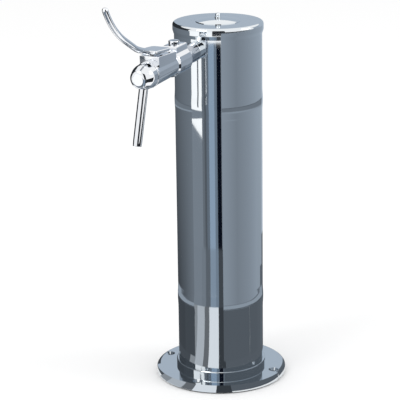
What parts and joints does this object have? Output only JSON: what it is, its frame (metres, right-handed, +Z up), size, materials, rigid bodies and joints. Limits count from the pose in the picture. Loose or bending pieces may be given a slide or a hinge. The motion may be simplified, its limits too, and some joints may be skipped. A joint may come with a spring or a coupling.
{
  "type": "beer tower dispenser",
  "caption": "Upright steel drink column on a round bolt-down foot, with a lever tap, adjustable flow and a down-turned spout, fed by a line inside.",
  "frame": {"origin": "centre of the foot's underside, where the tower stands on the bar top", "axes": "+Z up along the column, the tap points along -Y, +X to the right of a person facing the tap from behind the tower"},
  "size_m": [0.136, 0.2857, 0.4243],
  "materials": {
    "brushed_column": "bright drawn steel",
    "polished_steel": "polished",
    "plain_steel": "satin",
    "tap_chrome": "mirror",
    "plated_brass": "dull nickel over brass",
    "black_rubber": "matte",
    "dark_plastic": "matte",
    "white_plastic": "semi-gloss",
    "clear_line": "milky",
    "insulating_foam": "open foam"
  },
  "bodies": {
    "tower": {"base_gasket": "black_rubber", "base_flange": "polished_steel", "foot_ring": "polished_steel", "column_tube": "brushed_column", "base_plug": "dark_plastic", "inlet_connector": "white_plastic", "beer_line": "clear_line", "foam_liner": "insulating_foam", "top_cap": "polished_steel", "cap_seal": "black_rubber", "cap_dome": "polished_steel", "acorn_nut": "polished_steel", "cap_stud": "plain_steel", "cap_bridge": "plain_steel", "stud_nut": "plain_steel", "shank_tube": "polished_steel", "outer_saddle": "polished_steel", "inner_saddle": "plain_steel", "shank_nut": "plated_brass", "tail_washer": "black_rubber", "tail_elbow": "plain_steel", "tail_nut": "plated_brass", "tap_collar": "tap_chrome", "tap_washer": "black_rubber", "lock_ring": "tap_chrome", "tap_body": "tap_chrome", "lever_pin": "plain_steel", "valve_seat": "white_plastic", "spout_head": "tap_chrome", "spout_tube": "tap_chrome"},
    "lever": {"lever": "tap_chrome"},
    "piston": {"valve_piston": "white_plastic", "piston_o_rings": "black_rubber", "piston_seal": "black_rubber"},
    "adjuster": {"flow_adjuster": "tap_chrome", "adjuster_ring": "black_rubber"},
    "cone": {"flow_cone": "white_plastic"}
  },
  "joints": [
    {"name": "lever_hinge", "type": "hinge", "parent": "tower", "child": "lever", "pos_m": [0, -0.13106, 0.36143], "axis": [1, 0, 0], "range_deg": [0, 18]},
    {"name": "piston_slide", "type": "slide", "parent": "tower", "child": "piston", "axis": [0, 0.9981, 0.061], "range_m": [0, 0.0025]},
    {"name": "adjuster_turn", "type": "hinge", "parent": "tower", "child": "adjuster", "pos_m": [0, -0.09043, 0.36872], "axis": [0, -0.061, 0.9981], "range_deg": [-45, 45]},
    {"name": "cone_slide", "type": "slide", "parent": "tower", "child": "cone", "axis": [0, 0.9981, 0.061], "range_m": [-0.00116, 0.00116]}
  ],
  "couplings": [
    {"joint": "piston_slide", "follows": "lever_hinge", "m_per_rad": 0.0073},
    {"joint": "adjuster_turn", "follows": "cone_slide", "rad_per_m": 675.7}
  ]
}
